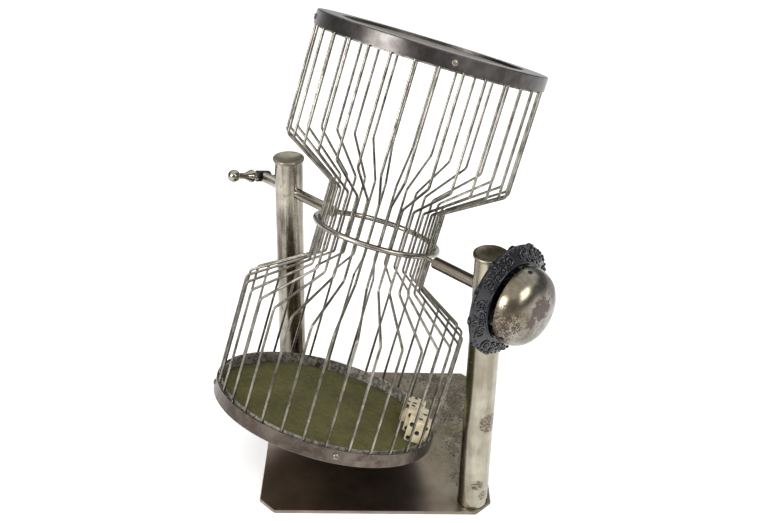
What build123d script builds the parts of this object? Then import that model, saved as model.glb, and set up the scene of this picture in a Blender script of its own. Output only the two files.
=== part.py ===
from build123d import *
import os
from math import cos, radians, sin, sqrt

# Chuck-a-luck dice cage: an hourglass cage of wires on a crossways axle between two tube posts,
# with a ball-ended crank on one post and a doorbell gong on the other.
# Frame: X runs along the axle from the crank post to the bell post, Z is up, and the origin is
# the middle of the base plate's underside. All sizes are in millimetres.

# Base plate and posts
PLATE_SIDE = 200.0
PLATE_T = 3.0
PLATE_CHAMFER = 13.5
POST_SPACING = 238.0
TUBE_R = 12.7
TUBE_BORE_R = 11.05
TUBE_TOP = 247.0
AXLE_Z = 217.5
CAP_LIP_R = 14.2
CAP_LIP_H = 3.0
CAP_PLUG_R = 10.8
CAP_PLUG_H = 9.0
CAP_DISH_R = 12.4
CRANK_CAP_DISH = 1.3
BELL_CAP_DISH = 2.1
FOOT_PLUG_R = 10.9
FOOT_PLUG_H = 20.0
BASE_SCREW_R = 3.0
BASE_SCREW_HEAD_R = 5.6
BASE_SCREW_HEAD_H = 2.4

# Cage, in its own frame: Z along the cage, X along the axle, origin in the middle of the waist
CAGE_X = -5.0
CAGE_TILT = -21.5
CAGE_HALF = 167.5
BAND_R = 98.5
BAND_T = 1.0
BAND_H = 12.0
FLANGE_T = 2.4
FLANGE_BORE_R = 77.0
HEAD_T = 0.8
FELT_T = 0.8
HOOP_OUTER_R = 95.1
HOOP_T = 1.0
HOOP_DROP = 1.5
WIRES = 32
WIRE_R = 1.125
DRUM_R = 96.3
DRUM_BEND_Z = 65.0
WAIST_R = 50.1
WAIST_BEND_Z = 35.0
WIRE_BEND_R = 4.0
RING_R = 53.7
RING_ROD_R = 2.4
RING_SCREW_R = 1.5
RING_SCREW_HEAD_R = 2.5
RING_SCREW_HEAD_H = 1.5
RING_SCREW_L = 6.3
RING_NUT_R = 2.8
RING_NUT_T = 1.8

# Axle, crank and bell-side spindle
AXLE_R = 4.75
AXLE_END_X = -154.0
BEARING_R = 6.5
BEARING_BORE_R = 4.8
AXLE_HOLE_R = 4.84
HUB_X = -157.5
HUB_R = 5.3
HUB_FAR = 8.0
HUB_NEAR = 7.5
LEVER_ANGLE = 18.0
LEVER_BALL_R = 5.75
LEVER_BALL_S = 34.4
TAIL_ROD_R = 1.4
TAIL_ROD_END = 24.0
SPINDLE_R = 1.6
SLEEVE_R = 5.0
SLEEVE_BORE_R = 1.66
SLEEVE_START_X = 62.0
SLEEVE_END_X = 143.5

# Bell
WEB_BACK_X = 133.4
WEB_T = 3.0
ROSETTE_R = 45.4
ROSETTE_LOBES = 12
ROSETTE_LOBE_R = 6.2
GONG_RIM_X = 150.1
GONG_R = 31.9
GONG_SKIRT = 1.0
GONG_H = 20.0
GONG_SHOULDER_R = 18.5
GONG_WALL = 1.5
GONG_SCREW_X = 156.0
GONG_SCREW_ANGLES = (-152, -32, 88)
EAR_OUTER = 28.6
EAR_INNER = 26.6
EAR_WIDTH = 6.0
EAR_END_X = 158.0
STRIKER_ARM_X = 147.0
STRIKER_ARM_T = 2.2
STRIKER_PIN_OFFSET = 12.5
STRIKER_PIN_R = 1.0
CLAPPER_X = 150.0
CLAPPER_T = 3.2
CLAPPER_L = 10.6
CLAPPER_TIP_R = 2.6

# Dice, in the cage's frame
DIE = 19.05
DIE_EDGE = 1.3
PIP_OFFSET = 0.325 * DIE
PIP_R = 2.0
PIP_DEPTH = 0.7
DIE_TURN = 35.1
DICE_SPOTS = ((71.6, 43.0), (57.7, 57.0), (42.2, 69.7))
DICE_FACES = ((1, 5, 4), (2, 6, 3), (6, 3, 2))

RING_SCREW_Z = CAGE_HALF - BAND_H / 2 - 0.5
CRANK_POST_X = -POST_SPACING / 2
BELL_POST_X = POST_SPACING / 2
FLOOR_Z = -(CAGE_HALF - FLANGE_T - HEAD_T - FELT_T)
WIRE_PITCH = 360 / WIRES
RING_SCREW_ANGLES = [45 + 90 * quarter + WIRE_PITCH / 2 for quarter in range(4)]
CAGE_FRAME = Location((CAGE_X, 0, AXLE_Z), (CAGE_TILT, 0, 0))
OTHER_END = Rot(0, 0, WIRE_PITCH) * Rot(180, 0, 0)


def tube(radius, bore, height):
    return Cylinder(radius, height) - Cylinder(bore, height + 1)


def z_cylinder(radius, low, high, x=0.0, y=0.0):
    return Pos(x, y, (low + high) / 2) * Cylinder(radius, high - low)


def x_cylinder(radius, low, high, y=0.0, z=AXLE_Z):
    return Pos((low + high) / 2, y, z) * Rot(0, 90, 0) * Cylinder(radius, high - low)


def turned(points):
    """A solid of revolution about Z from (radius, z) points."""
    outline = Plane.XZ * make_face(Polyline(*points, close=True))
    return revolve(outline, Axis.Z)


def about_axle(shape):
    """Carry a shape turned about Z at the origin onto the axle, with its Z along +X."""
    return Pos(0, 0, AXLE_Z) * Rot(0, 90, 0) * shape


def fused(shapes):
    total = shapes[0]
    for shape in shapes[1:]:
        total += shape
    return total


# ---- stand -------------------------------------------------------------------------------

def base_plate():
    plate = Pos(0, 0, PLATE_T / 2) * Rot(0, 0, 45) * Box(PLATE_SIDE, PLATE_SIDE, PLATE_T)
    plate = chamfer(plate.edges().filter_by(Axis.Z), PLATE_CHAMFER)
    plate = fillet(plate.faces().sort_by(Axis.Z)[-1].edges(), 0.5)
    for x in (CRANK_POST_X, BELL_POST_X):
        plate -= z_cylinder(BASE_SCREW_R + 0.2, -1, PLATE_T + 1, x)
        sink = Pos(x, 0, BASE_SCREW_HEAD_H / 2 + 0.1) * Cone(
            BASE_SCREW_HEAD_R + 0.2, BASE_SCREW_R + 0.2, BASE_SCREW_HEAD_H + 0.2)
        plate -= sink
    return plate


def post(x, bores):
    wall = Pos(x, 0, (PLATE_T + TUBE_TOP) / 2) * tube(TUBE_R, TUBE_BORE_R, TUBE_TOP - PLATE_T)
    return wall - x_cylinder(bores, x - 20, x + 20)


def post_cap(x, dish):
    lip = z_cylinder(CAP_LIP_R, TUBE_TOP, TUBE_TOP + CAP_LIP_H, x)
    lip = fillet(lip.edges(), 1.1)
    ball_r = (CAP_DISH_R ** 2 + dish ** 2) / (2 * dish)
    lip -= Pos(x, 0, TUBE_TOP + CAP_LIP_H + ball_r - dish) * Sphere(ball_r)
    return lip + z_cylinder(CAP_PLUG_R, TUBE_TOP - CAP_PLUG_H, TUBE_TOP + 0.5, x)


def foot_plug(x):
    plug = z_cylinder(FOOT_PLUG_R, PLATE_T, PLATE_T + FOOT_PLUG_H, x)
    return plug - z_cylinder(BASE_SCREW_R + 0.05, 0, PLATE_T + FOOT_PLUG_H + 1, x)


def base_screw(x):
    head = Pos(x, 0, BASE_SCREW_HEAD_H / 2 + 0.2) * Cone(
        BASE_SCREW_HEAD_R, BASE_SCREW_R, BASE_SCREW_HEAD_H)
    slot = Pos(x, 0, 0.5) * Box(2 * BASE_SCREW_HEAD_R + 1, 1.2, 1.4)
    return head - slot + z_cylinder(BASE_SCREW_R, 2.0, PLATE_T + FOOT_PLUG_H - 3, x)


def crank_bearing():
    sleeve = x_cylinder(BEARING_R, CRANK_POST_X - 12, CRANK_POST_X + 12)
    sleeve &= z_cylinder(TUBE_BORE_R - 0.05, AXLE_Z - 10, AXLE_Z + 10, CRANK_POST_X)
    return sleeve - x_cylinder(BEARING_BORE_R, CRANK_POST_X - 20, CRANK_POST_X + 20)


def bearing_sleeve():
    sleeve = x_cylinder(SLEEVE_R, SLEEVE_START_X, SLEEVE_END_X)
    sleeve = chamfer(sleeve.edges(), 0.5)
    return sleeve - x_cylinder(SLEEVE_BORE_R, SLEEVE_START_X - 1, SLEEVE_END_X + 1)


def bell_saddle():
    saddle = x_cylinder(9.0, BELL_POST_X + 8, WEB_BACK_X)
    saddle -= z_cylinder(TUBE_R + 0.02, AXLE_Z - 20, AXLE_Z + 20, BELL_POST_X)
    return saddle - x_cylinder(SLEEVE_R + 0.02, BELL_POST_X, WEB_BACK_X + 1)


def bell_nut():
    low = WEB_BACK_X + WEB_T
    nut = Pos(low, 0, AXLE_Z) * Rot(0, 90, 0) * extrude(RegularPolygon(8.2, 6), 4.5)
    return nut - x_cylinder(SLEEVE_R + 0.02, low - 1, low + 6)


def bell_rosette():
    front = WEB_BACK_X + WEB_T
    dish = turned((
        (SLEEVE_R + 0.05, WEB_BACK_X), (SLEEVE_R + 0.05, front), (26.0, front),
        (30.2, 144.6), (31.0, 145.2), (32.4, 145.2), (44.9, 140.0), (ROSETTE_R, 139.0),
        (44.6, 136.9), (33.0, 141.4), (29.4, WEB_BACK_X)))
    for i in range(ROSETTE_LOBES):
        lobe = Pos(40.2, 0, 138.4) * Cylinder(ROSETTE_LOBE_R, 2.6)
        dish += Rot(0, 0, 360 / ROSETTE_LOBES * i) * lobe
    casting = about_axle(dish)
    for angle in GONG_SCREW_ANGLES:
        ear = Pos((front + EAR_END_X) / 2 - 0.5, (EAR_INNER + EAR_OUTER) / 2, 0) * Box(
            EAR_END_X - front + 1, EAR_OUTER - EAR_INNER, EAR_WIDTH)
        hole = Pos(GONG_SCREW_X, EAR_OUTER, 0) * Rot(90, 0, 0) * Cylinder(1.12, 12)
        casting += Pos(0, 0, AXLE_Z) * Rot(angle, 0, 0) * ear
        casting -= Pos(0, 0, AXLE_Z) * Rot(angle, 0, 0) * hole
    return casting


def dome(outer_r, shoulder_r, height, rim_drop):
    """The gong's outside or inside as a solid: a straight skirt, a shoulder arc and a crown."""
    centre_r = outer_r - shoulder_r
    crown_r = (centre_r ** 2 + height ** 2 - shoulder_r ** 2) / (2 * (height - shoulder_r))
    lean = centre_r / (crown_r - shoulder_r)
    rise = sqrt(1 - lean ** 2)
    tangent = (centre_r + shoulder_r * lean, shoulder_r * rise)
    shoulder = ThreePointArc(
        (outer_r, 0),
        (centre_r + shoulder_r * sin(radians(50)), shoulder_r * cos(radians(50))),
        tangent)
    half_way = crown_r * lean / 2
    crown = ThreePointArc(
        tangent, (half_way, height - crown_r + sqrt(crown_r ** 2 - half_way ** 2)), (0, height))
    sides = Polyline((0, height), (0, -rim_drop), (outer_r, -rim_drop), (outer_r, 0))
    return revolve(Plane.XZ * make_face(shoulder + crown + sides), Axis.Z)


def gong():
    level = GONG_RIM_X + GONG_SKIRT
    shell = dome(GONG_R, GONG_SHOULDER_R, GONG_H, GONG_SKIRT)
    shell -= dome(GONG_R - GONG_WALL, GONG_SHOULDER_R - GONG_WALL, GONG_H - GONG_WALL, 5)
    shell = about_axle(Pos(0, 0, level) * shell)
    for angle in GONG_SCREW_ANGLES:
        hole = Pos(GONG_SCREW_X, GONG_R, 0) * Rot(90, 0, 0) * Cylinder(2.0, 12)
        shell -= Pos(0, 0, AXLE_Z) * Rot(angle, 0, 0) * hole
    return shell


def gong_screw(angle):
    shank = Pos(GONG_SCREW_X, (EAR_INNER + EAR_OUTER) / 2 - 0.5, 0) * Rot(90, 0, 0) * Cylinder(
        1.1, EAR_OUTER - EAR_INNER + 1)
    head_top = 31.4
    head = Pos(GONG_SCREW_X, (EAR_OUTER + head_top) / 2, 0) * Rot(90, 0, 0) * Cylinder(
        1.85, head_top - EAR_OUTER)
    slot = Pos(GONG_SCREW_X, head_top, 0) * Box(5, 1.4, 0.7)
    return Pos(0, 0, AXLE_Z) * Rot(angle, 0, 0) * (shank + head - slot)


# ---- cage --------------------------------------------------------------------------------

def in_cage(shape):
    return CAGE_FRAME * shape


def waist_ring():
    return in_cage(Torus(RING_R, RING_ROD_R))


def wire(index):
    drum_end = CAGE_HALF - FLANGE_T - HEAD_T - 0.1
    path = FilletPolyline(
        (DRUM_R, 0, drum_end), (DRUM_R, 0, DRUM_BEND_Z), (WAIST_R, 0, WAIST_BEND_Z),
        (WAIST_R, 0, -WAIST_BEND_Z), (DRUM_R, 0, -DRUM_BEND_Z), (DRUM_R, 0, -drum_end),
        radius=WIRE_BEND_R)
    section = Plane((DRUM_R, 0, drum_end), z_dir=(0, 0, -1)) * Circle(WIRE_R)
    return Rot(0, 0, WIRE_PITCH * index) * sweep(section, path)


def wire_pair(index):
    return in_cage(Compound(children=[wire(2 * index), wire(2 * index + 1)]))


def cap_ring(end):
    inner = BAND_R - BAND_T
    flange_z = CAGE_HALF - FLANGE_T
    low = CAGE_HALF - BAND_H
    ring = turned((
        (BAND_R, low), (BAND_R, CAGE_HALF - 0.8), (BAND_R - 0.8, CAGE_HALF),
        (FLANGE_BORE_R, CAGE_HALF), (FLANGE_BORE_R, flange_z), (inner, flange_z), (inner, low)))
    for angle in RING_SCREW_ANGLES:
        ring -= Rot(0, 0, angle) * radial_cylinder(RING_SCREW_R + 0.06, BAND_R - 5, BAND_R + 5)
    return in_cage(ring if end > 0 else OTHER_END * ring)


def radial_cylinder(radius, low, high):
    place = Pos((low + high) / 2, 0, RING_SCREW_Z) * Rot(0, 90, 0)
    return place * Cylinder(radius, high - low)


def hoop(end):
    low = CAGE_HALF - BAND_H - HOOP_DROP
    high = CAGE_HALF - FLANGE_T - HEAD_T
    ring = Pos(0, 0, (low + high) / 2) * tube(HOOP_OUTER_R, HOOP_OUTER_R - HOOP_T, high - low)
    for angle in RING_SCREW_ANGLES:
        ring -= Rot(0, 0, angle) * radial_cylinder(RING_SCREW_R + 0.06, BAND_R - 10, BAND_R + 5)
    return in_cage(ring if end > 0 else OTHER_END * ring)


def head(end):
    middle = CAGE_HALF - FLANGE_T - HEAD_T / 2
    return in_cage(Pos(0, 0, end * middle) * Cylinder(BAND_R - BAND_T - 0.2, HEAD_T))


def felt(end):
    middle = CAGE_HALF - FLANGE_T - HEAD_T - FELT_T / 2
    return in_cage(Pos(0, 0, end * middle) * Cylinder(HOOP_OUTER_R - HOOP_T - 0.3, FELT_T))


def ring_screw():
    """Round-headed slotted screw, turned about Z and then laid out along +X."""
    rim_z = RING_SCREW_HEAD_H - 0.9
    crown = ThreePointArc(
        (RING_SCREW_HEAD_R, rim_z), (0.62 * RING_SCREW_HEAD_R, RING_SCREW_HEAD_H - 0.25),
        (0, RING_SCREW_HEAD_H))
    sides = Polyline(
        (0, RING_SCREW_HEAD_H), (0, -RING_SCREW_L), (RING_SCREW_R, -RING_SCREW_L),
        (RING_SCREW_R, 0), (RING_SCREW_HEAD_R, 0), (RING_SCREW_HEAD_R, rim_z))
    screw = revolve(Plane.XZ * make_face(crown + sides), Axis.Z)
    screw -= Pos(0, 0, RING_SCREW_HEAD_H) * Box(0.8, 8, 1.4)
    return Pos(BAND_R + 0.02, 0, RING_SCREW_Z) * Rot(0, 90, 0) * screw


def ring_nut():
    outer = HOOP_OUTER_R - HOOP_T - 0.1
    place = Pos(outer - RING_NUT_T, 0, RING_SCREW_Z) * Rot(0, 90, 0)
    nut = place * Rot(0, 0, 30) * extrude(RegularPolygon(RING_NUT_R, 6), RING_NUT_T)
    return nut - radial_cylinder(RING_SCREW_R + 0.03, BAND_R - 15, BAND_R)


def at_both_ends(shape):
    copies = []
    for angle in RING_SCREW_ANGLES:
        copies.append(Rot(0, 0, angle) * shape)
        copies.append(OTHER_END * Rot(0, 0, angle) * shape)
    return in_cage(Compound(children=copies))


def crank_axle():
    axle = x_cylinder(AXLE_R, AXLE_END_X, CAGE_X - RING_R)
    axle += x_cylinder(2.4, HUB_X - 2, AXLE_END_X + 1)
    return axle - waist_ring()


def on_lever(shape):
    """Carry a shape turned about Z onto the lever: its Z runs from the axle to the ball."""
    return Pos(HUB_X, 0, AXLE_Z) * Rot(90 - LEVER_ANGLE, 0, 0) * shape


def crank_hub():
    hub = on_lever(z_cylinder(HUB_R, -HUB_FAR, HUB_NEAR))
    hub = chamfer(hub.edges().filter_by(GeomType.CIRCLE), 0.8)
    hub -= Pos(AXLE_END_X - 0.02 + 10, 0, AXLE_Z) * Box(20, 40, 40)
    hub -= x_cylinder(2.42, HUB_X - 2, AXLE_END_X + 1)
    return hub - on_lever(z_cylinder(TAIL_ROD_R + 0.02, -HUB_FAR - 1, -HUB_FAR + 5))


def crank_lever():
    """Turned steel lever: collar, double cone, waisted neck and ball."""
    ball_start = LEVER_BALL_S - sqrt(LEVER_BALL_R ** 2 - 3.1 ** 2)
    stem = turned((
        (0, HUB_NEAR), (4.2, HUB_NEAR), (4.4, 9.6), (6.1, 13.4), (5.6, 15.0), (3.6, 19.6),
        (3.0, 22.0), (2.8, 25.0), (3.1, ball_start + 0.3), (0, ball_start + 0.6)))
    return on_lever(stem + Pos(0, 0, LEVER_BALL_S) * Sphere(LEVER_BALL_R))


def crank_tail_rod():
    rod = z_cylinder(TAIL_ROD_R, -TAIL_ROD_END, -HUB_FAR + 4)
    return on_lever(fillet(rod.edges().sort_by(Axis.Z)[0], 0.9))


def bell_spindle():
    spindle = x_cylinder(SPINDLE_R, CAGE_X + RING_R, STRIKER_ARM_X + 8)
    return spindle - waist_ring()


def striker_hub():
    arm_mid = STRIKER_ARM_X + STRIKER_ARM_T / 2
    hub = x_cylinder(4.0, STRIKER_ARM_X - 1.5, STRIKER_ARM_X + 8)
    hub += Pos(arm_mid, 0, AXLE_Z) * Box(STRIKER_ARM_T, 2 * STRIKER_PIN_OFFSET + 5, 5)
    pin_head_x = CLAPPER_X + CLAPPER_T + 0.2
    for side in (1, -1):
        y = side * STRIKER_PIN_OFFSET
        hub += x_cylinder(STRIKER_PIN_R, arm_mid, pin_head_x + 0.8, y)
        hub += x_cylinder(1.8, pin_head_x, pin_head_x + 0.9, y)
    return hub - x_cylinder(SPINDLE_R + 0.02, STRIKER_ARM_X - 5, STRIKER_ARM_X + 20)


def clapper(side):
    y = side * STRIKER_PIN_OFFSET
    high = CLAPPER_X + CLAPPER_T
    body = x_cylinder(2.2, CLAPPER_X, high, y)
    body += x_cylinder(CLAPPER_TIP_R, CLAPPER_X, high, y, AXLE_Z - CLAPPER_L)
    shank = Pos(CLAPPER_X + CLAPPER_T / 2, y, AXLE_Z - CLAPPER_L / 2)
    body += shank * Box(CLAPPER_T, 2.0, CLAPPER_L)
    return body - x_cylinder(STRIKER_PIN_R + 0.05, CLAPPER_X - 1, high + 1, y)


# ---- dice --------------------------------------------------------------------------------

def pip_spots(value):
    p = PIP_OFFSET
    diagonal = [(p, -p), (-p, p)]
    corners = diagonal + [(p, p), (-p, -p)]
    return {
        1: [(0, 0)], 2: diagonal, 3: diagonal + [(0, 0)], 4: corners, 5: corners + [(0, 0)],
        6: corners + [(p, 0), (-p, 0)]}[value]


def die(top, front, right):
    """A cube with rounded edges and drilled pips, lying with the named faces out."""
    cube = Box(DIE, DIE, DIE)
    cube = fillet(cube.edges(), DIE_EDGE)
    drill_r = (PIP_R ** 2 + PIP_DEPTH ** 2) / (2 * PIP_DEPTH)
    turns = (
        (top, Rot(0, 0, 0)), (7 - top, Rot(180, 0, 0)), (front, Rot(90, 0, 0)),
        (7 - front, Rot(-90, 0, 0)), (right, Rot(0, 90, 0)), (7 - right, Rot(0, -90, 0)))
    drills = []
    for value, turn in turns:
        for x, y in pip_spots(value):
            drills.append(turn * Pos(y, x, DIE / 2 + drill_r - PIP_DEPTH) * Sphere(drill_r))
    return cube - drills


def placed_die(spot, faces):
    place = Pos(spot[0], spot[1], FLOOR_Z + DIE / 2 + 0.02) * Rot(0, 0, DIE_TURN)
    return in_cage(place * die(*faces))


def build():
    nodes = {
        "base_plate": base_plate(),
        "crank_post": post(CRANK_POST_X, AXLE_HOLE_R),
        "bell_post": post(BELL_POST_X, SLEEVE_R + 0.02),
        "crank_post_cap": post_cap(CRANK_POST_X, CRANK_CAP_DISH),
        "bell_post_cap": post_cap(BELL_POST_X, BELL_CAP_DISH),
        "crank_post_plug": foot_plug(CRANK_POST_X),
        "bell_post_plug": foot_plug(BELL_POST_X),
        "base_screws": Compound(children=[base_screw(CRANK_POST_X), base_screw(BELL_POST_X)]),
        "crank_bearing": crank_bearing(),
        "bearing_sleeve": bearing_sleeve(),
        "bell_saddle": bell_saddle(),
        "bell_rosette": bell_rosette(),
        "bell_nut": bell_nut(),
        "gong": gong(),
        "gong_screws": Compound(children=[gong_screw(angle) for angle in GONG_SCREW_ANGLES]),
        "waist_ring": waist_ring(),
        "upper_cap_ring": cap_ring(1),
        "lower_cap_ring": cap_ring(-1),
        "upper_hoop": hoop(1),
        "lower_hoop": hoop(-1),
        "upper_head": head(1),
        "lower_head": head(-1),
        "upper_felt": felt(1),
        "lower_felt": felt(-1),
        "ring_screws": at_both_ends(ring_screw()),
        "ring_nuts": at_both_ends(ring_nut()),
        "crank_axle": crank_axle(),
        "crank_hub": crank_hub(),
        "crank_lever": crank_lever(),
        "crank_tail_rod": crank_tail_rod(),
        "bell_spindle": bell_spindle(),
        "striker_hub": striker_hub(),
        "clapper_a": clapper(1),
        "clapper_b": clapper(-1),
    }
    for i in range(WIRES // 2):
        nodes[f"wire_pair_{i + 1:02d}"] = wire_pair(i)
    for i, (spot, faces) in enumerate(zip(DICE_SPOTS, DICE_FACES)):
        nodes[f"die_{i + 1}"] = placed_die(spot, faces)
    return nodes


os.makedirs("parts", exist_ok=True)
for name, shape in build().items():
    export_step(shape, f"parts/{name}.step")
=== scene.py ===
import math
import random

import bpy
from mathutils import Matrix, Vector


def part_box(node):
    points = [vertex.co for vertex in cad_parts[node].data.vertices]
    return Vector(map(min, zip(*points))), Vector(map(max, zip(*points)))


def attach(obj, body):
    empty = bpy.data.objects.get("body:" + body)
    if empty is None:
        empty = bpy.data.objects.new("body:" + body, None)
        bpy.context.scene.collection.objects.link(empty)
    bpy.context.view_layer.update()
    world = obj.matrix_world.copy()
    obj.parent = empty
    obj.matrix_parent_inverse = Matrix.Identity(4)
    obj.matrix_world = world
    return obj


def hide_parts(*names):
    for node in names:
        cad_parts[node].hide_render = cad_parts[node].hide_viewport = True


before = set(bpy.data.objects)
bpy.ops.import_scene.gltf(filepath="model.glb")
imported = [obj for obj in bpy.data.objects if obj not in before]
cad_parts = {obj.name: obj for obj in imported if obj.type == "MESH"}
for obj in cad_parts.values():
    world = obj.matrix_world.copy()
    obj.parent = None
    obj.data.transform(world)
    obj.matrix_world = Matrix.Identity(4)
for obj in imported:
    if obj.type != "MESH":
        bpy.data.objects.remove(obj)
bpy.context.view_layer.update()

# Sizes in metres, as the CAD has them.
MM = 0.001
AXLE_Z = 217.5 * MM
CAGE_CENTRE = Vector((-5 * MM, 0, AXLE_Z))
CAGE_TILT = math.radians(-21.5)
CAGE_HALF = 167.5 * MM
BAND_H = 12 * MM
DRUM_R = 96.3 * MM
WAIST_CONTACT_R = 51.3 * MM
WIRES = 32
FELT_R = 93.7 * MM
FELT_T = 0.8 * MM
FELT_FACE_IN = 4.0 * MM
DIE = 19.05 * MM
DIE_TURN = math.radians(35.1)
PIP_OFFSET = 0.325 * DIE
PIP_R = 2.0 * MM
PIP_DEPTH = 0.7 * MM
INK_REACH = 1.08 * PIP_R
INK_ABOVE = 0.06 * MM
INK_BELOW = -0.15 * MM
DICE_FACES = {"die_1": (1, 5, 4), "die_2": (2, 6, 3), "die_3": (6, 3, 2)}
ROSETTE_INNER_R = 32.4 * MM
ROSETTE_OUTER_R = 44.9 * MM
ROSETTE_INNER_X = 145.2 * MM
ROSETTE_OUTER_X = 140.0 * MM
ROSETTE_MOTIFS = 6
TUBE_R = 12.7 * MM
PLATE_T = 3 * MM

CAGE_MATRIX = Matrix.Translation(CAGE_CENTRE) @ Matrix.Rotation(CAGE_TILT, 4, "X")


# ---- small helpers -----------------------------------------------------------------------

def rgb(red, green, blue):
    """A colour given as 0 to 255 screen values, as the shader wants it."""
    def linear(value):
        share = value / 255
        return share / 12.92 if share <= 0.04045 else ((share + 0.055) / 1.055) ** 2.4
    return (linear(red), linear(green), linear(blue), 1.0)


class Recipe:
    """A material and short calls for the shader nodes used in it."""

    def __init__(self, name):
        self.material = bpy.data.materials.new(name)
        self.material.use_nodes = True
        self.tree = self.material.node_tree
        self.shader = self.tree.nodes["Principled BSDF"]
        self.place = self.node("ShaderNodeTexCoord").outputs["Object"]

    def node(self, kind, **settings):
        made = self.tree.nodes.new(kind)
        for key, value in settings.items():
            setattr(made, key, value)
        return made

    def feed(self, socket, value):
        if isinstance(value, bpy.types.NodeSocket):
            self.tree.links.new(value, socket)
        else:
            socket.default_value = value

    def spread(self, scale, stretch=(1, 1, 1), shift=(0, 0, 0), turn=(0, 0, 0)):
        """Object coordinates in pattern units: scale is how many fit in a metre."""
        mapping = self.node("ShaderNodeMapping")
        self.feed(mapping.inputs["Vector"], self.place)
        mapping.inputs["Rotation"].default_value = turn
        mapping.inputs["Location"].default_value = shift
        mapping.inputs["Scale"].default_value = [scale * s for s in stretch]
        return mapping.outputs["Vector"]

    def noise(self, scale, detail=3.0, rough=0.5, warp=0.0, **placing):
        noise = self.node("ShaderNodeTexNoise")
        self.feed(noise.inputs["Vector"], self.spread(scale, **placing))
        noise.inputs["Scale"].default_value = 1.0
        noise.inputs["Detail"].default_value = detail
        noise.inputs["Roughness"].default_value = rough
        noise.inputs["Distortion"].default_value = warp
        return noise.outputs["Fac"]

    def cell_colors(self, scale):
        """A flat random colour for each cell of a Voronoi pattern."""
        cells = self.node("ShaderNodeTexVoronoi", feature="F1")
        self.feed(cells.inputs["Vector"], self.spread(scale))
        cells.inputs["Scale"].default_value = 1.0
        return cells.outputs["Color"]

    def step(self, value, low, high):
        """0 below low, 1 above high, smooth in between. High may be below low."""
        mapped = self.node("ShaderNodeMapRange", interpolation_type="SMOOTHSTEP")
        self.feed(mapped.inputs["Value"], value)
        mapped.inputs["From Min"].default_value = low
        mapped.inputs["From Max"].default_value = high
        return mapped.outputs["Result"]

    def between(self, value, low, high):
        """Carry a 0 to 1 value onto low to high."""
        mapped = self.node("ShaderNodeMapRange")
        self.feed(mapped.inputs["Value"], value)
        mapped.inputs["To Min"].default_value = low
        mapped.inputs["To Max"].default_value = high
        return mapped.outputs["Result"]

    def math(self, operation, first, second=0.0):
        worked = self.node("ShaderNodeMath", operation=operation)
        self.feed(worked.inputs[0], first)
        self.feed(worked.inputs[1], second)
        return worked.outputs[0]

    def times(self, *values):
        total = values[0]
        for value in values[1:]:
            total = self.math("MULTIPLY", total, value)
        return total

    def mix(self, share, first, second):
        mixed = self.node("ShaderNodeMix", data_type="RGBA")
        self.feed(mixed.inputs["Factor"], share)
        self.feed(mixed.inputs[6], first)
        self.feed(mixed.inputs[7], second)
        return mixed.outputs[2]

    def near(self, centre, reach, soft, wobble=0.0, wobble_scale=120.0):
        """1 within reach of a point on the object, fading out over soft, with a ragged edge."""
        apart = self.node("ShaderNodeVectorMath", operation="DISTANCE")
        self.feed(apart.inputs[0], self.place)
        apart.inputs[1].default_value = centre
        ragged = self.noise(wobble_scale, detail=8.0, rough=0.7, warp=0.4)
        shift = self.between(ragged, -wobble, wobble)
        return self.step(self.math("ADD", apart.outputs["Value"], shift), reach + soft, reach)

    def height(self, axis):
        split = self.node("ShaderNodeSeparateXYZ")
        self.feed(split.inputs[0], self.place)
        return split.outputs[axis]

    def bump(self, height, depth, under=None):
        bump = self.node("ShaderNodeBump")
        self.feed(bump.inputs["Height"], height)
        bump.inputs["Distance"].default_value = depth
        bump.inputs["Strength"].default_value = 1.0
        if under is not None:
            self.feed(bump.inputs["Normal"], under)
        return bump.outputs["Normal"]

    def finish(self, color, metallic, roughness, normal=None, **plain):
        self.feed(self.shader.inputs["Base Color"], color)
        self.feed(self.shader.inputs["Metallic"], metallic)
        self.feed(self.shader.inputs["Roughness"], roughness)
        if normal is not None:
            self.feed(self.shader.inputs["Normal"], normal)
        for key, value in plain.items():
            self.shader.inputs[key.replace("_", " ")].default_value = value
        return self.material


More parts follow.
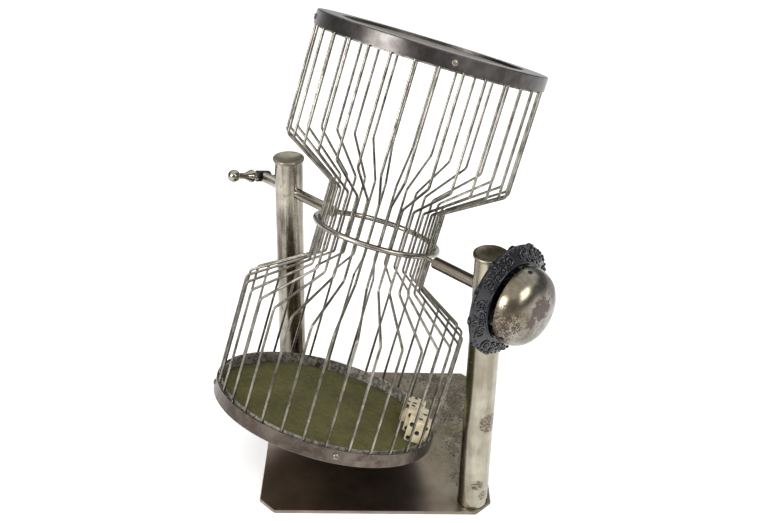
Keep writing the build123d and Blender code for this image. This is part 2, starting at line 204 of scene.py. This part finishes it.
class Shape:
    """Collects tubes, beads and sheets into one mesh."""

    def __init__(self):
        self.points = []
        self.faces = []

    def add(self, points, faces):
        start = len(self.points)
        self.points += [Vector(p) for p in points]
        self.faces += [[start + i for i in face] for face in faces]

    def tube(self, line, radii, sides=8, closed=False):
        """A round tube along a line of points, with flat ends unless it is closed."""
        rings = []
        count = len(line)
        side = None
        for i, point in enumerate(line):
            back = line[i - 1] if i or closed else line[i]
            ahead = line[(i + 1) % count] if i < count - 1 or closed else line[i]
            along = (ahead - back).normalized()
            if side is None:
                side = along.orthogonal().normalized()
            side = (side - along * side.dot(along)).normalized()
            other = along.cross(side)
            ring = []
            for j in range(sides):
                angle = math.tau * j / sides
                ring.append(point + (side * math.cos(angle) + other * math.sin(angle)) * radii[i])
            rings.append(ring)
        points = [p for ring in rings for p in ring]
        faces = []
        for i in range(count if closed else count - 1):
            for j in range(sides):
                a, b = i * sides, ((i + 1) % count) * sides
                k = (j + 1) % sides
                faces.append([a + j, a + k, b + k, b + j])
        if not closed:
            faces.append(list(range(sides))[::-1])
            faces.append([(count - 1) * sides + j for j in range(sides)])
        self.add(points, faces)

    def bead(self, matrix, radii, rings=6, sides=10):
        """An ellipsoid with the given half sizes, placed by a matrix."""
        points = [matrix @ Vector((0, 0, radii[2]))]
        for i in range(1, rings):
            polar = math.pi * i / rings
            for j in range(sides):
                angle = math.tau * j / sides
                points.append(matrix @ Vector((
                    radii[0] * math.sin(polar) * math.cos(angle),
                    radii[1] * math.sin(polar) * math.sin(angle),
                    radii[2] * math.cos(polar))))
        points.append(matrix @ Vector((0, 0, -radii[2])))
        last = len(points) - 1
        faces = []
        for j in range(sides):
            k = (j + 1) % sides
            faces.append([0, 1 + j, 1 + k])
            for i in range(rings - 2):
                a, b = 1 + i * sides, 1 + (i + 1) * sides
                faces.append([a + j, b + j, b + k, a + k])
            base = 1 + (rings - 2) * sides
            faces.append([base + j, last, base + k])
        self.add(points, faces)

    def object(self, name, body, material):
        """Make the mesh an object that moves with a body of the frame."""
        mesh = bpy.data.meshes.new(name)
        mesh.from_pydata(self.points, [], self.faces)
        mesh.validate()
        mesh.shade_smooth()
        made = bpy.data.objects.new(name, mesh)
        bpy.context.scene.collection.objects.link(made)
        made.data.materials.append(material)
        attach(made, body)
        return made


def paint(material, *nodes):
    """Give CAD nodes a material, leaving their shapes as they are."""
    for name in nodes:
        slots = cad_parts[name].data.materials
        slots.clear()
        slots.append(material)


# ---- materials ---------------------------------------------------------------------------

def nickel(name, light, dark, stain, stain_share, pit_share, rough,
           streak=(1, 1, 1), streak_scale=120.0, shift=(0, 0, 0), worn=()):
    """Aged plating: slow tone changes, brown stain, fine dark pits, streaks and worn spots."""
    m = Recipe(name)
    tone = m.noise(28, detail=4.0, rough=0.6, shift=shift)
    lines = m.noise(streak_scale, detail=5.0, rough=0.65, stretch=streak, shift=shift)
    blend = m.math("ADD", m.times(tone, 0.55), m.times(lines, 0.45))
    color = m.mix(m.step(blend, 0.34, 0.66), dark, light)
    stained = m.step(m.noise(55, detail=6.0, rough=0.7, warp=0.4, shift=shift),
                     0.72 - stain_share, 0.86 - stain_share)
    color = m.mix(m.times(stained, 0.75), color, stain)
    grain = m.noise(900, detail=2.0, rough=0.5, shift=shift)
    where = m.noise(70, detail=3.0, shift=shift)
    pits = m.step(m.math("ADD", m.times(grain, 0.75), m.times(where, 0.35)),
                  0.80 - pit_share, 0.86 - pit_share)
    color = m.mix(pits, color, rgb(48, 40, 33))
    crust = m.step(m.noise(420, detail=5.0, rough=0.7, stretch=(1, 1, 2.2)), 0.40, 0.54)
    for centre, reach in worn:
        rubbed = m.times(crust, m.near(centre, reach, 0.002, 0.004, wobble_scale=260))
        color = m.mix(m.times(rubbed, 0.85), color, rgb(66, 54, 43))
    fine = m.noise(260, detail=4.0, rough=0.7, shift=shift)
    dull = m.math("ADD", m.between(fine, rough - 0.09, rough + 0.09), m.times(pits, 0.3))
    dull = m.math("ADD", dull, m.times(stained, 0.08))
    relief = m.math("SUBTRACT", m.times(m.noise(600, detail=3.0), 0.35), pits)
    return m.finish(color, m.between(pits, 1.0, 0.3), dull, m.bump(relief, 0.00004))


def plate_nickel():
    """The base plate: smooth and brown in front, with painted light there to offset the cage's shade;
    pitted and pale towards the back corner.
    """
    m = Recipe("plate_nickel")
    back = m.step(m.math("ADD", m.height("Y"), m.times(m.height("X"), 0.45)), -0.03, 0.08)
    tone = m.step(m.noise(22, detail=5.0, rough=0.6), 0.35, 0.65)
    # painted light: the front tone is lighter than the back's, to offset the shade the cage casts on
    # the plate's front
    shade_lifted_front_color = m.mix(tone, rgb(126, 112, 102), rgb(148, 134, 124))
    back_color = m.mix(tone, rgb(84, 78, 64), rgb(108, 102, 85))
    color = m.mix(back, shade_lifted_front_color, back_color)
    cloudy = m.step(m.noise(34, detail=6.0, rough=0.75, warp=0.5), 0.45, 0.62)
    color = m.mix(m.times(cloudy, back, 0.4), color, rgb(152, 147, 130))
    grain = m.noise(430, detail=3.0, rough=0.6)
    where = m.noise(60, detail=4.0)
    dense = m.math("ADD", m.times(grain, 0.8), m.times(where, 0.3))
    pits = m.step(m.math("SUBTRACT", dense, m.between(back, 0.9, 0.572)), 0.0, 0.03)
    color = m.mix(pits, color, rgb(42, 38, 33))
    dull = m.math("ADD", m.between(back, 0.26, 0.4), m.times(m.noise(160, detail=4.0), 0.1))
    relief = m.math("SUBTRACT", m.times(m.noise(700, detail=2.0), 0.2), pits)
    scratches = m.noise(60, detail=6.0, rough=0.8, stretch=(1, 22, 1), turn=(0, 0, 0.8))
    under = m.bump(scratches, 0.000010)
    return m.finish(color, m.between(pits, 1.0, 0.25), dull, m.bump(relief, 0.00005, under=under))


def gong_nickel():
    """The gong: fine brown pits on one flank, worn bare in ragged mauve patches on the crown."""
    m = Recipe("gong_nickel")
    tone = m.noise(60, detail=5.0, rough=0.65)
    color = m.mix(m.step(tone, 0.35, 0.7), rgb(90, 85, 77), rgb(142, 138, 130))
    gold = m.near((0.158, -0.024, 0.238), 0.008, 0.02, 0.006)
    color = m.mix(m.times(gold, 0.4), color, rgb(104, 92, 64))
    flank = m.near((0.158, -0.030, 0.2165), 0.004, 0.026, 0.006)
    grain = m.noise(900, detail=3.5, rough=0.62, warp=0.3)
    coarse = m.noise(230, detail=5.0, rough=0.65)
    speckle_at = m.math("ADD", m.times(grain, 0.6), m.times(coarse, 0.4))
    speckle = m.step(m.math("SUBTRACT", speckle_at, m.between(flank, 0.66, 0.455)), 0.0, 0.04)
    color = m.mix(m.times(flank, 0.3), color, rgb(112, 94, 68))
    color = m.mix(m.times(speckle, 0.92), color, rgb(50, 36, 25))
    low = m.near((0.168, -0.008, 0.199), 0.006, 0.014, 0.004)
    low_speck = m.times(m.step(m.noise(420, detail=5.0, rough=0.75), 0.5, 0.56), low)
    color = m.mix(m.times(low_speck, 0.75), color, rgb(74, 64, 58))
    bare_a = m.near((0.171, -0.001, 0.2235), 0.0088, 0.0008, 0.012, wobble_scale=190)
    bare_b = m.near((0.170, -0.0115, 0.2165), 0.0045, 0.0008, 0.0095, wobble_scale=330)
    bare_c = m.near((0.1665, 0.0165, 0.2345), 0.0065, 0.003, 0.006, wobble_scale=110)
    bare = m.math("MAXIMUM", m.math("MAXIMUM", bare_a, bare_b), m.times(bare_c, 0.6))
    color = m.mix(m.times(bare, 0.9), color, rgb(88, 76, 73))
    few = m.step(m.noise(330, detail=1.0, shift=(3, 1, 0)), 0.76, 0.79)
    color = m.mix(few, color, rgb(40, 34, 30))
    dull = m.math("ADD", m.between(m.noise(90, detail=5.0), 0.16, 0.34), m.times(speckle, 0.3))
    dull = m.math("ADD", dull, m.times(bare, 0.26))
    relief = m.math("SUBTRACT", m.times(grain, flank, 0.6), m.times(bare, 0.6))
    metal = m.math("SUBTRACT", 1.0, m.times(speckle, 0.5))
    return m.finish(color, metal, dull, m.bump(relief, 0.0001))


def black_enamel():
    """Chipped glossy black over the casting, worn brown in a few places."""
    m = Recipe("black_enamel")
    tone = m.noise(90, detail=5.0, rough=0.6)
    color = m.mix(tone, rgb(6, 6, 8), rgb(20, 20, 26))
    worn = m.step(m.noise(75, detail=6.0, rough=0.7, shift=(5, 2, 1)), 0.64, 0.70)
    color = m.mix(m.times(worn, 0.5), color, rgb(80, 60, 46))
    dull = m.between(m.noise(300, detail=4.0, rough=0.6), 0.08, 0.26)
    relief = m.math("ADD", m.times(m.noise(700, detail=3.0), 0.25), m.noise(200, detail=3.0))
    return m.finish(color, 0.0, dull, m.bump(relief, 0.0001), Specular_IOR_Level=0.45)


def galvanised():
    """Mottled zinc with angular grey spangle and dirt."""
    m = Recipe("galvanised")
    spangle = m.cell_colors(420)
    grey = m.node("ShaderNodeSeparateColor")
    m.feed(grey.inputs[0], spangle)
    mottled = m.math("ADD", m.times(grey.outputs[0], 0.5), m.times(m.noise(420, detail=4.0), 0.6))
    color = m.mix(m.step(mottled, 0.25, 0.9), rgb(90, 85, 77), rgb(160, 156, 147))
    dirt = m.step(m.noise(140, detail=5.0, rough=0.7), 0.52, 0.66)
    color = m.mix(m.times(dirt, 0.6), color, rgb(77, 65, 54))
    return m.finish(color, 0.75, m.between(mottled, 0.38, 0.6), m.bump(mottled, 0.00006))


def felt_cloth():
    """Olive green wool felt: matted short fibres, rubbed lighter and darker in clouds."""
    m = Recipe("felt_cloth")
    cloud = m.noise(26, detail=5.0, rough=0.6, warp=0.3)
    mottle = m.noise(230, detail=5.0, rough=0.7, warp=0.6)
    blend = m.math("ADD", m.times(cloud, 0.45), m.times(mottle, 0.55))
    color = m.mix(m.step(blend, 0.36, 0.64), rgb(45, 44, 11), rgb(74, 72, 32))
    fibre = m.noise(900, detail=6.0, rough=0.75, warp=1.2, stretch=(1, 0.35, 1), turn=(0, 0, 0.6))
    across = m.noise(900, detail=5.0, rough=0.75, warp=1.0, stretch=(0.35, 1, 1), turn=(0, 0, 0.5))
    mat = m.math("ADD", m.times(fibre, 0.5), m.times(across, 0.5))
    color = m.mix(m.times(m.step(mat, 0.42, 0.6), 0.35), color, rgb(97, 92, 50))
    lint = m.step(m.noise(420, detail=2.0, shift=(9, 4, 2)), 0.77, 0.81)
    color = m.mix(m.times(lint, 0.3), color, rgb(121, 115, 80))
    rubbed = m.step(m.noise(60, detail=4.0, shift=(2, 7, 0)), 0.6, 0.72)
    color = m.mix(m.times(rubbed, 0.35), color, rgb(39, 37, 11))
    relief = m.math("ADD", mat, m.times(mottle, 0.5))
    return m.finish(color, 0.0, m.between(mat, 0.85, 1.0), m.bump(relief, 0.0004),
                    Sheen_Weight=0.04, Sheen_Roughness=0.6, Specular_IOR_Level=0.08)


def ivory():
    """Yellowed casein plastic with faint grain and grimy patches."""
    m = Recipe("ivory")
    tone = m.noise(110, detail=5.0, rough=0.6)
    color = m.mix(m.step(tone, 0.3, 0.7), rgb(166, 150, 118), rgb(202, 190, 160))
    vein = m.noise(140, detail=5.0, rough=0.7, stretch=(1, 1, 7), turn=(0.4, 0.2, 0.5))
    color = m.mix(m.times(m.step(vein, 0.55, 0.7), 0.35), color, rgb(186, 166, 124))
    grime = m.step(m.noise(420, detail=4.0, rough=0.7), 0.6, 0.72)
    color = m.mix(m.times(grime, 0.4), color, rgb(140, 120, 88))
    return m.finish(color, 0.0, m.between(tone, 0.25, 0.42), m.bump(vein, 0.00003),
                    Subsurface_Weight=0.08, Subsurface_Scale=0.002, Coat_Weight=0.2)


def pip_ink():
    """Near-black ink."""
    m = Recipe("pip_ink")
    tone = m.noise(900, detail=4.0, rough=0.7)
    color = m.mix(tone, rgb(10, 11, 17), rgb(30, 33, 44))
    return m.finish(color, 0.0, m.between(tone, 0.25, 0.5), m.bump(tone, 0.00004))


def dark_steel():
    """Dark oiled steel, also used for the painted shade rings round the post feet."""
    m = Recipe("dark_steel")
    tone = m.noise(240, detail=5.0, rough=0.65)
    color = m.mix(m.step(tone, 0.35, 0.7), rgb(34, 31, 29), rgb(82, 76, 70))
    return m.finish(color, 0.9, m.between(tone, 0.28, 0.5), m.bump(tone, 0.00005))


def solder():
    """Dull grey solder."""
    m = Recipe("solder")
    tone = m.noise(500, detail=4.0, rough=0.6)
    color = m.mix(m.step(tone, 0.3, 0.7), rgb(84, 76, 66), rgb(164, 157, 145))
    return m.finish(color, 1.0, m.between(tone, 0.3, 0.55), m.bump(tone, 0.00015))


# ---- pieces ------------------------------------------------------------------------------

def in_cage(x, y, z):
    """A point given in the cage's own axes, in the frame's."""
    return CAGE_MATRIX @ Vector((x, y, z))


def felt(name, node, end):
    """A disc of felt with an uneven face, a soft edge and a slightly ragged cut."""
    wobble = random.Random(name)
    phases = [(wobble.uniform(0, math.tau), wobble.uniform(0.4, 1.0)) for _ in range(6)]
    rings, sides = 40, 160
    trim, ragged_by, uneven_by = 0.25 * MM, 0.04 * MM, 0.05 * MM
    round_over, lip = 0.3 * MM, 0.1 * MM
    inner = end * (CAGE_HALF - FELT_FACE_IN)
    outer = end * (CAGE_HALF - FELT_FACE_IN + FELT_T)

    def edge(angle):
        ragged = sum(a * math.sin((5 + 7 * i) * angle + p) for i, (p, a) in enumerate(phases))
        return FELT_R - trim + ragged_by * ragged

    def sink(radius, angle):
        x, y = radius * math.cos(angle), radius * math.sin(angle)
        waves = 0.0
        for i, (phase, amount) in enumerate(phases):
            waves += amount * math.sin(x * (60 + 35 * i) + phase) * math.cos(y * (75 - 9 * i) + phase)
        return uneven_by * (1 + waves / 4)

    shape = Shape()
    points = [in_cage(0, 0, inner + end * sink(0, 0))]
    for i in range(1, rings + 1):
        share = i / rings
        for j in range(sides):
            angle = math.tau * j / sides
            radius = share * edge(angle)
            drop = sink(radius, angle)
            if i == rings:
                drop += round_over
                radius = edge(angle) + lip
            points.append(in_cage(
                radius * math.cos(angle), radius * math.sin(angle), inner + end * drop))
    start = len(points)
    for j in range(sides):
        angle = math.tau * j / sides
        radius = edge(angle) + lip
        points.append(in_cage(radius * math.cos(angle), radius * math.sin(angle), outer))
    points.append(in_cage(0, 0, outer))
    faces = []
    for j in range(sides):
        k = (j + 1) % sides
        faces.append([0, 1 + j, 1 + k])
        for i in range(rings - 1):
            a, b = 1 + i * sides, 1 + (i + 1) * sides
            faces.append([a + j, b + j, b + k, a + k])
        rim = 1 + (rings - 1) * sides
        faces.append([rim + j, start + j, start + k, rim + k])
        faces.append([start + j, len(points) - 1, start + k])
    if end > 0:
        faces = [face[::-1] for face in faces]
    shape.add(points, faces)
    piece = shape.object(name, "cage", FELT)
    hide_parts(node)


def on_rosette(angle, radius, lift=0.0):
    """A point on the casting's sloping face. The angle turns about the axle from +Y."""
    share = (radius - ROSETTE_INNER_R) / (ROSETTE_OUTER_R - ROSETTE_INNER_R)
    x = ROSETTE_INNER_X + share * (ROSETTE_OUTER_X - ROSETTE_INNER_X)
    return Vector((x + lift, radius * math.cos(angle), AXLE_Z + radius * math.sin(angle)))


def rosette_axes(angle, radius):
    """A matrix at a point on the casting: X outwards, Y round it, Z off its face."""
    out = (on_rosette(angle, radius + MM) - on_rosette(angle, radius)).normalized()
    round_it = Vector((0, -math.sin(angle), math.cos(angle)))
    off = out.cross(round_it)
    if off.x < 0:
        off = -off
    axes = Matrix((out, round_it, off)).transposed().to_4x4()
    return Matrix.Translation(on_rosette(angle, radius)) @ axes


def scroll(shape, angle, radius, size, hand, turns):
    """A tapering spiral ridge lying on the casting, with a bead in its eye."""
    axes = rosette_axes(angle, radius)
    line, radii = [], []
    steps = 44
    for i in range(steps + 1):
        share = i / steps
        away = size * (1 - share) ** 0.85 + 0.5 * MM
        turn = hand * (math.tau * turns * share + 0.6)
        lift = (0.05 + 0.5 * share) * MM
        line.append(axes @ Vector((away * math.cos(turn), away * math.sin(turn), lift)))
        radii.append((1.05 - 0.4 * share) * MM * min(1.0, 0.3 + 6 * share))
    shape.tube(line, radii)
    shape.bead(axes @ Matrix.Translation((0, 0, 0.6 * MM)), (0.85 * MM, 0.85 * MM, 0.9 * MM))


def leaf(shape, angle, radius, length, width, lean):
    """A tapering leaf that lies outwards on the casting."""
    axes = rosette_axes(angle, radius) @ Matrix.Rotation(lean, 4, "Z")
    shape.bead(axes @ Matrix.Translation((length / 2, 0, 0.25 * MM)), (length / 2, width, 0.9 * MM))


def rosette_relief():
    """The casting's scrolls, leaves, beads and lumpy rim."""
    shape = Shape()
    uneven = random.Random(3)
    pitch = math.tau / ROSETTE_MOTIFS
    arc_points, lumps, ring_points = 25, 54, 96
    for i in range(ROSETTE_MOTIFS):
        middle = pitch * (i + 0.5)
        for hand in (1, -1):
            scroll(shape, middle + hand * 0.21, 39.6 * MM, 4.6 * MM, hand, turns=1.7)
            scroll(shape, middle + hand * 0.42, 36.6 * MM, 2.5 * MM, -hand, turns=1.3)
            arc = []
            for k in range(arc_points):
                share = k / (arc_points - 1)
                turn = middle + hand * (0.05 + 0.42 * share)
                arc.append(on_rosette(turn, (35.4 + 8.2 * share ** 1.6) * MM, 0.15 * MM))
            shape.tube(arc, [
                0.6 * MM * math.sin(math.pi * (k + 1) / (arc_points + 1)) + 0.1 * MM
                for k in range(arc_points)])
        for lean in (-0.85, -0.42, 0.0, 0.42, 0.85):
            length = (6.4 - 2.2 * abs(lean)) * MM
            leaf(shape, pitch * i, 38.6 * MM, length, 0.85 * MM, lean)
        for k in range(3):
            spot = rosette_axes(pitch * i, (34.6 + 1.5 * k) * MM)
            size = (0.55 + 0.16 * k) * MM
            shape.bead(spot @ Matrix.Translation((0, 0, 0.4 * MM)), (size, size, size))
    for i in range(lumps):
        angle = math.tau * i / lumps + uneven.uniform(-0.02, 0.02)
        radius = (44.0 + uneven.uniform(-0.4, 0.7)) * MM
        size = uneven.uniform(1.0, 1.7) * MM
        shape.bead(rosette_axes(angle, radius), (size * 0.8, size, size * 0.85))
    ring = [on_rosette(math.tau * k / ring_points, 33.4 * MM, 0.1 * MM)
            for k in range(ring_points)]
    shape.tube(ring, [0.55 * MM] * ring_points, closed=True)
    shape.object("rosette_relief", "stand", ENAMEL)


def solder_joints():
    """An uneven solder seam inside each band's edge, and a blob where each wire meets the waist."""
    shape = Shape()
    uneven = random.Random(11)
    band_edge = CAGE_HALF - BAND_H
    for i in range(WIRES):
        spin = Matrix.Rotation(math.tau * i / WIRES, 4, "Z")
        level = uneven.uniform(-0.4, 0.4) * MM
        waist = CAGE_MATRIX @ spin @ Matrix.Translation((WAIST_CONTACT_R, 0, level))
        shape.bead(waist, (uneven.uniform(0.6, 0.9) * MM, uneven.uniform(1.3, 1.9) * MM,
                           uneven.uniform(1.1, 1.7) * MM))
        for end in (1, -1):
            level = end * (band_edge + 0.2 * MM)
            place = CAGE_MATRIX @ spin @ Matrix.Translation((DRUM_R + 0.3 * MM, 0, level))
            shape.bead(place, (0.8 * MM, uneven.uniform(1.0, 1.7) * MM,
                               uneven.uniform(0.9, 1.5) * MM))
    turns = 360
    for end in (1, -1):
        line, radii = [], []
        for k in range(turns):
            angle = math.tau * k / turns
            level = end * (band_edge + 1.5 * MM + uneven.uniform(-0.15, 0.15) * MM)
            line.append(in_cage(DRUM_R * math.cos(angle), DRUM_R * math.sin(angle), level))
            radii.append(uneven.uniform(1.0, 1.15) * MM)
        shape.tube(line, radii, closed=True)
    shape.object("solder_joints", "cage", SOLDER)


def pip_spots(value):
    """Where the pips of a face sit."""
    p = PIP_OFFSET
    diagonal = [(p, -p), (-p, p)]
    corners = diagonal + [(p, p), (-p, -p)]
    return {
        1: [(0, 0)], 2: diagonal, 3: diagonal + [(0, 0)], 4: corners, 5: corners + [(0, 0)],
        6: corners + [(p, 0), (-p, 0)]}[value]


def pips(name):
    """The ink in a die's drilled pips: a thin skin in each hollow, spread just past its rim."""
    low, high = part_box(name)
    place = Matrix.Translation((low + high) / 2) @ Matrix.Rotation(CAGE_TILT, 4, "X")
    place = place @ Matrix.Rotation(DIE_TURN, 4, "Z")
    top, front, right = DICE_FACES[name]
    quarter = math.pi / 2
    turns = (
        (top, Matrix.Identity(4)), (7 - top, Matrix.Rotation(math.pi, 4, "X")),
        (front, Matrix.Rotation(quarter, 4, "X")), (7 - front, Matrix.Rotation(-quarter, 4, "X")),
        (right, Matrix.Rotation(quarter, 4, "Y")), (7 - right, Matrix.Rotation(-quarter, 4, "Y")))
    drill_r = (PIP_R ** 2 + PIP_DEPTH ** 2) / (2 * PIP_DEPTH)
    centre = DIE / 2 + drill_r - PIP_DEPTH
    shape = Shape()
    sides, rings = 20, 4
    for value, turn in turns:
        for x, y in pip_spots(value):
            spot = place @ turn @ Matrix.Translation((y, x, 0))
            points = []
            for skin in (INK_ABOVE, INK_BELOW):
                points.append(spot @ Vector((0, 0, centre - drill_r + skin)))
                for i in range(1, rings + 1):
                    away = INK_REACH * i / rings
                    level = min(centre - math.sqrt(drill_r ** 2 - away ** 2), DIE / 2) + skin
                    for j in range(sides):
                        angle = math.tau * j / sides
                        points.append(spot @ Vector((
                            away * math.cos(angle), away * math.sin(angle), level)))
            skin_size = 1 + rings * sides
            faces = []
            for j in range(sides):
                k = (j + 1) % sides
                for base, flip in ((0, False), (skin_size, True)):
                    strip = [[base, base + 1 + j, base + 1 + k]]
                    for i in range(rings - 1):
                        a, b = base + 1 + i * sides, base + 1 + (i + 1) * sides
                        strip.append([a + j, b + j, b + k, a + k])
                    faces += [face[::-1] for face in strip] if flip else strip
                a, b = 1 + (rings - 1) * sides, skin_size + 1 + (rings - 1) * sides
                faces.append([a + j, b + j, b + k, a + k])
            shape.add(points, faces)
    shape.object(name + "_pips", name, INK)


def foot_shade_ring(name, node):
    """A thin dark ring round the foot of a post: painted shade in the crease where the post meets the
    plate.
    """
    low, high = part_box(node)
    middle = (low + high) / 2
    radius, level, thick = TUBE_R + 0.15 * MM, PLATE_T + 0.1 * MM, 0.32 * MM
    steps = 72
    shape = Shape()
    line = []
    for k in range(steps):
        angle = math.tau * k / steps
        line.append(Vector((
            middle.x + radius * math.cos(angle), radius * math.sin(angle), level)))
    # painted shade: a dark tube laid in the crease round the post's foot
    shape.tube(line, [thick] * steps, closed=True)
    shape.object(name, "stand", DARK)


# ---- stage -------------------------------------------------------------------------------

def camera():
    data = bpy.data.cameras.new("camera")
    data.sensor_width = 36
    data.lens = 49.65
    data.shift_x = -0.0393
    data.shift_y = -0.0700
    data.clip_start = 0.05
    data.clip_end = 20
    made = bpy.data.objects.new("camera", data)
    bpy.context.scene.collection.objects.link(made)
    yaw, pitch, roll = -0.7421, 0.4751, 0.0394
    ahead = Vector((
        math.sin(yaw) * math.cos(pitch), math.cos(yaw) * math.cos(pitch), -math.sin(pitch)))
    level = Vector((math.cos(yaw), -math.sin(yaw), 0))
    above = level.cross(ahead)
    right = math.cos(roll) * level + math.sin(roll) * above
    up = -math.sin(roll) * level + math.cos(roll) * above
    turn = Matrix((right, up, -ahead)).transposed().to_4x4()
    made.matrix_world = Matrix.Translation((0.55214, -0.56186, 0.65011)) @ turn
    bpy.context.scene.camera = made


def soft_light(name, azimuth, elevation, distance, size, power):
    """A square soft box aimed at the object. Azimuth 0 is the -Y side and 90 the +X side."""
    data = bpy.data.lights.new(name, "AREA")
    data.shape = "SQUARE"
    data.size = size
    data.energy = power
    aim(bpy.data.objects.new(name, data), azimuth, elevation, distance)


def overhead_light(name, azimuth, elevation, spread, strength):
    """Even light from a wide patch of ceiling."""
    data = bpy.data.lights.new(name, "SUN")
    data.angle = math.radians(spread)
    data.energy = strength
    aim(bpy.data.objects.new(name, data), azimuth, elevation, 2.0)


def aim(made, azimuth, elevation, distance):
    """Put a light at a distance from the object's middle, facing it."""
    a, e = math.radians(azimuth), math.radians(elevation)
    back = Vector((math.sin(a) * math.cos(e), -math.cos(a) * math.cos(e), math.sin(e)))
    bpy.context.scene.collection.objects.link(made)
    made.location = Vector((0, 0, 0.2)) + back * distance
    made.rotation_mode = "QUATERNION"
    made.rotation_quaternion = back.to_track_quat("Z", "Y")


def floor():
    mesh = bpy.data.meshes.new("floor")
    half, level = 6.0, -0.0002
    mesh.from_pydata(
        [(-half, -half, level), (half, -half, level), (half, half, level), (-half, half, level)],
        [], [(0, 1, 2, 3)])
    made = bpy.data.objects.new("floor", mesh)
    bpy.context.scene.collection.objects.link(made)
    pale = Recipe("floor")
    pale.finish(rgb(244, 244, 244), 0.0, 0.9, Specular_IOR_Level=0.1)
    mesh.materials.append(pale.material)


def surroundings():
    world = bpy.data.worlds.new("studio")
    world.use_nodes = True
    backdrop = world.node_tree.nodes["Background"]
    backdrop.inputs["Color"].default_value = (1.0, 1.0, 1.0, 1.0)
    backdrop.inputs["Strength"].default_value = 0.32
    bpy.context.scene.world = world
    bpy.context.scene.view_settings.view_transform = "Standard"


camera()
floor()
surroundings()
soft_light("left_box", -6, 26, 1.5, 0.7, 22)
soft_light("right_box", 88, 34, 1.4, 0.6, 13)
overhead_light("ceiling", 180, 84, 110, 2.7)

FELT = felt_cloth()
ENAMEL = black_enamel()
SOLDER = solder()
INK = pip_ink()
DARK = dark_steel()
ZINC = galvanised()
PLATE = plate_nickel()
CRANK_POST = nickel(
    "crank_post_nickel", rgb(170, 164, 150), rgb(78, 69, 62), rgb(66, 54, 46), 0.14, 0.02, 0.22,
    streak=(4.2, 4.2, 0.22), streak_scale=70)
BELL_POST = nickel(
    "bell_post_nickel", rgb(170, 165, 150), rgb(126, 119, 104), rgb(96, 84, 66), 0.10, 0.01, 0.24,
    streak=(3.0, 3.0, 0.35), streak_scale=50, shift=(4, 2, 7),
    worn=(((0.1317, -0.001, 0.0940), 0.0085), ((0.129, -0.0077, 0.029), 0.0045),
          ((0.1316, -0.0015, 0.017), 0.0035)))
CAP = nickel(
    "cap_nickel", rgb(146, 139, 121), rgb(92, 85, 71), rgb(74, 62, 46), 0.16, 0.03, 0.3)
WIRE = nickel(
    "wire_nickel", rgb(150, 146, 136), rgb(70, 65, 57), rgb(70, 58, 44), 0.2, 0.05, 0.3)
BAND = nickel(
    "upper_band_nickel", rgb(92, 89, 87), rgb(63, 60, 58), rgb(66, 58, 53), 0.10, 0.0, 0.32)
LOW_BAND = nickel(
    "lower_band_nickel", rgb(104, 95, 87), rgb(66, 58, 52), rgb(68, 52, 43), 0.2, 0.03, 0.38)
HEAD = nickel(
    "head_tin", rgb(122, 111, 92), rgb(88, 78, 63), rgb(56, 45, 35), 0.18, 0.02, 0.42)
RING = nickel(
    "ring_nickel", rgb(154, 149, 140), rgb(96, 89, 79), rgb(76, 60, 42), 0.12, 0.03, 0.25)
BRIGHT = nickel(
    "bright_steel", rgb(166, 160, 148), rgb(112, 105, 94), rgb(84, 70, 54), 0.10, 0.0, 0.24,
    streak=(0.3, 3, 3), streak_scale=60)
LEVER = nickel(
    "lever_nickel", rgb(156, 150, 140), rgb(106, 98, 86), rgb(84, 64, 48), 0.16, 0.0, 0.18)
SLEEVE = nickel(
    "sleeve_nickel", rgb(136, 128, 115), rgb(98, 90, 79), rgb(78, 66, 53), 0.14, 0.0, 0.3,
    streak=(0.3, 3, 3), streak_scale=60)
INNER = nickel(
    "inner_steel", rgb(130, 124, 114), rgb(90, 84, 76), rgb(80, 64, 48), 0.15, 0.05, 0.4)

paint(PLATE, "base_plate")
paint(CRANK_POST, "crank_post")
paint(BELL_POST, "bell_post")
paint(CAP, "crank_post_cap", "bell_post_cap")
paint(INNER, "crank_post_plug", "bell_post_plug", "base_screws", "crank_bearing", "ring_nuts",
      "striker_hub", "clapper_a", "clapper_b", "ring_screws")
paint(SLEEVE, "bearing_sleeve")
paint(BRIGHT, "bell_spindle", "crank_axle", "crank_tail_rod")
paint(LEVER, "crank_lever")
paint(DARK, "crank_hub", "bell_nut", "gong_screws")
paint(ENAMEL, "bell_saddle", "bell_rosette")
paint(gong_nickel(), "gong")
paint(RING, "waist_ring")
paint(BAND, "upper_cap_ring")
paint(LOW_BAND, "lower_cap_ring")
paint(ZINC, "upper_hoop", "lower_hoop")
paint(HEAD, "upper_head", "lower_head")
paint(ivory(), "die_1", "die_2", "die_3")
paint(WIRE, *[f"wire_pair_{i + 1:02d}" for i in range(WIRES // 2)])

felt("felt_upper", "upper_felt", 1)
felt("felt_lower", "lower_felt", -1)
rosette_relief()
solder_joints()
for die in DICE_FACES:
    pips(die)
# painted shade rings in the creases at the feet of the posts
foot_shade_ring("crank_foot_shade_ring", "crank_post")
foot_shade_ring("bell_foot_shade_ring", "bell_post")
